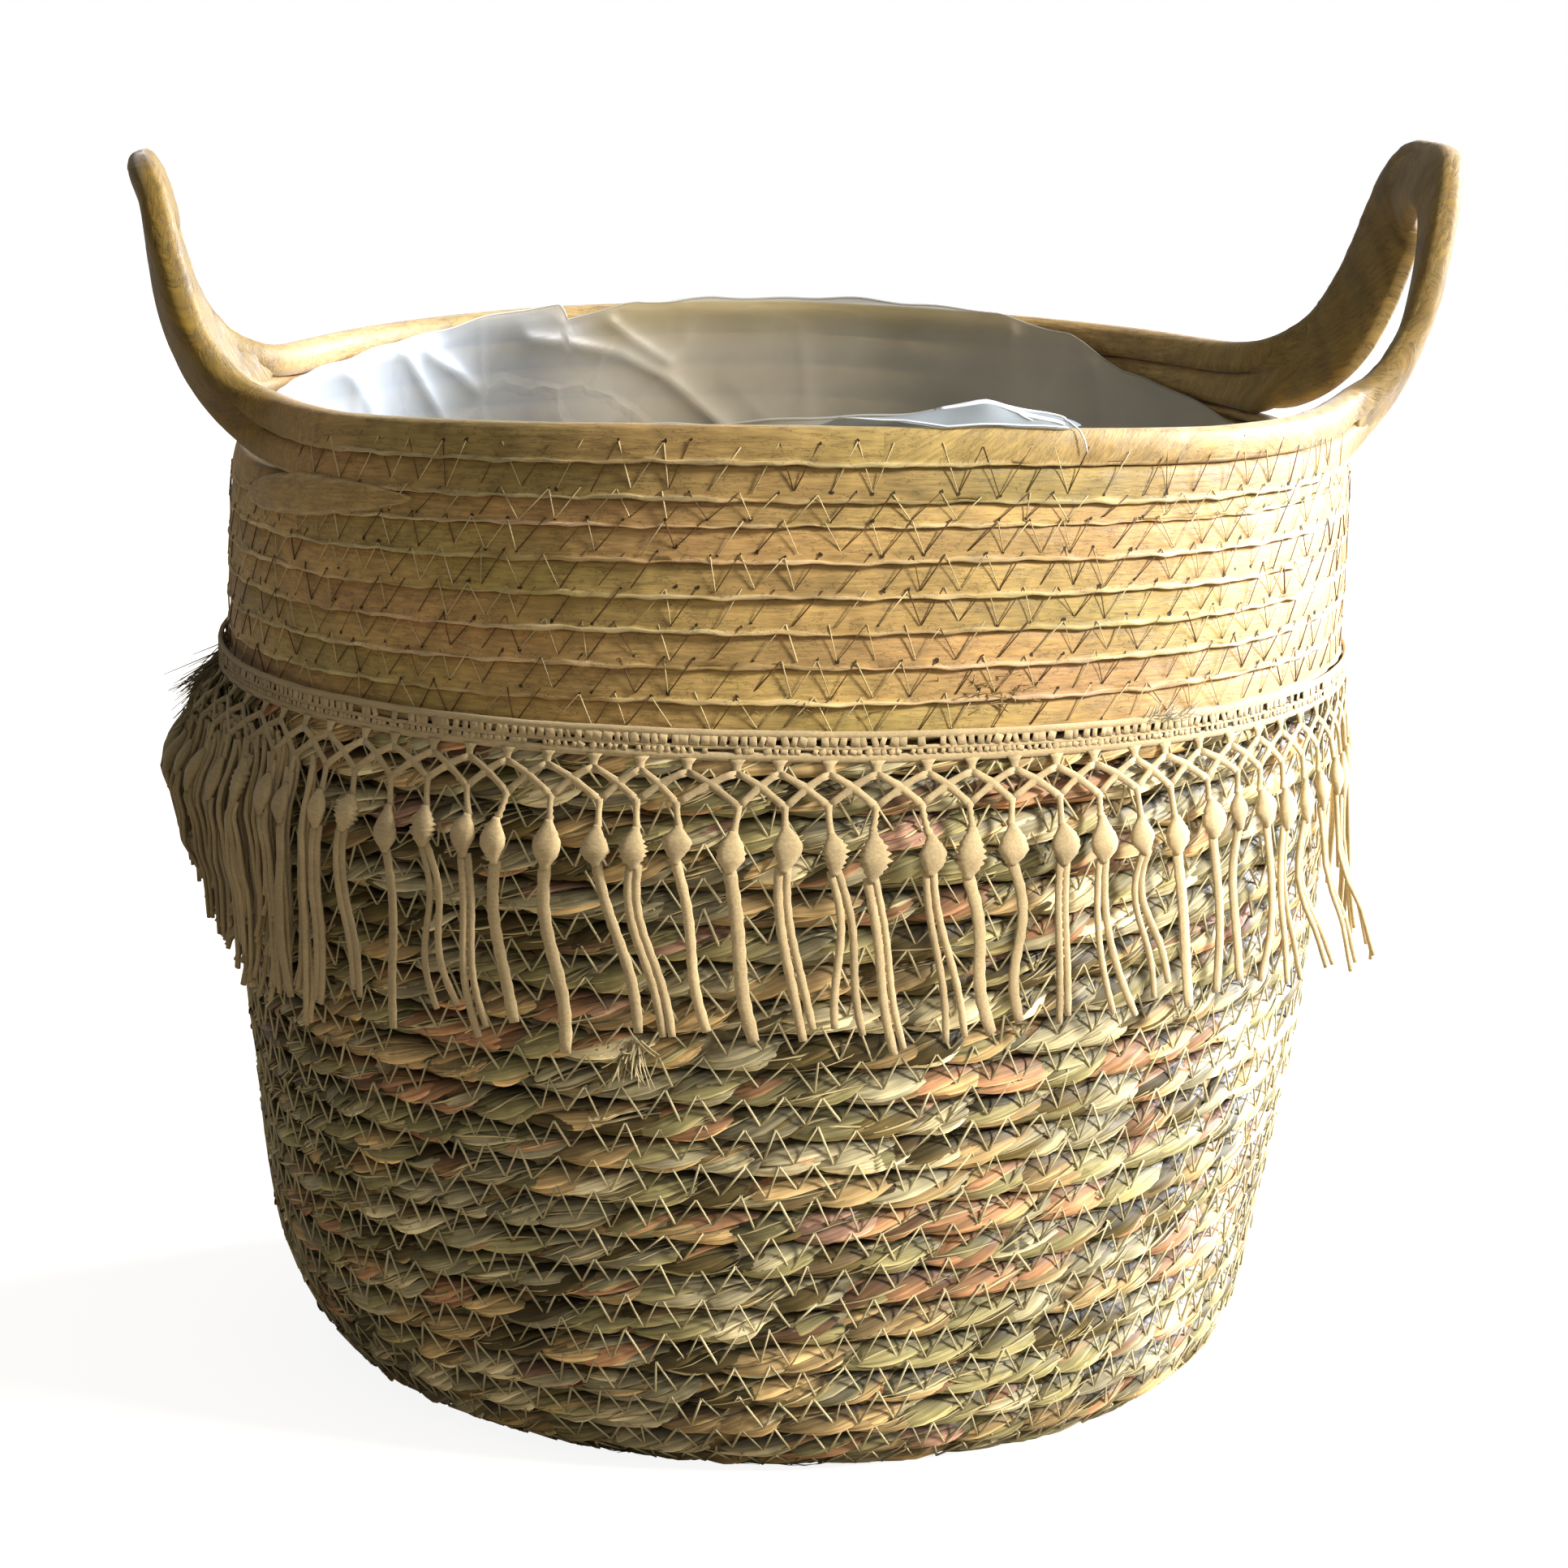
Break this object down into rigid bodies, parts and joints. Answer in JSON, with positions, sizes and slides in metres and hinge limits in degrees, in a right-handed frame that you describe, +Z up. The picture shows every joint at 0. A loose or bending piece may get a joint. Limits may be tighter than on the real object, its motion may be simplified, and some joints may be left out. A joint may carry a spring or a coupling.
{
  "type": "planter basket",
  "caption": "Round planter basket coiled from seagrass and straw rope, with raised rope handles, a knotted tassel fringe and a lift-out film liner",
  "frame": {"origin": "middle of the foot, on the floor", "axes": "+Z up, front faces -Y, the handles stand near +X and -X, turned a few degrees about +Z"},
  "size_m": [0.3708, 0.3402, 0.3457],
  "materials": {
    "seagrass_rope": "dry twisted seagrass leaf, olive green to tan, matt with a faint sheen on each leaf",
    "straw_rope": "smooth pressed straw husk, warm cream to tan, fine fibres, low sheen",
    "cotton_cord": "soft flat cream cord, knotted, matt",
    "clear_film": "thin clear film, creased, glossy"
  },
  "bodies": {
    "basket": {"seagrass_wall_coil": "seagrass_rope", "straw_band_coil": "straw_rope", "base_coil_plate": "seagrass_rope", "rim_rope_back_lower": "straw_rope", "rim_rope_back_upper": "straw_rope", "rim_rope_front_lower": "straw_rope", "rim_rope_front_upper": "straw_rope", "trim_tape": "cotton_cord", "trim_fringe": "cotton_cord"},
    "right_handle": {"handle_right_rope_lower": "straw_rope", "handle_right_rope_upper": "straw_rope"},
    "left_handle": {"handle_left_rope_lower": "straw_rope", "handle_left_rope_upper": "straw_rope"},
    "liner": {"liner_bag": "clear_film"}
  },
  "joints": [
    {"name": "right_handle_flex", "type": "hinge", "parent": "basket", "child": "right_handle", "pos_m": [0.15012, 0.02163, 0.28054], "axis": [0.1426, -0.9898, 0], "range_deg": [-12, 18], "stiffness_Nm_per_rad": 1.2},
    {"name": "left_handle_flex", "type": "hinge", "parent": "basket", "child": "left_handle", "pos_m": [-0.15012, -0.02163, 0.28054], "axis": [-0.1426, 0.9898, 0], "range_deg": [-12, 18], "stiffness_Nm_per_rad": 1.2},
    {"name": "liner_lift", "type": "slide", "parent": "basket", "child": "liner", "axis": [0, 0, 1], "range_m": [0, 0.3]}
  ]
}
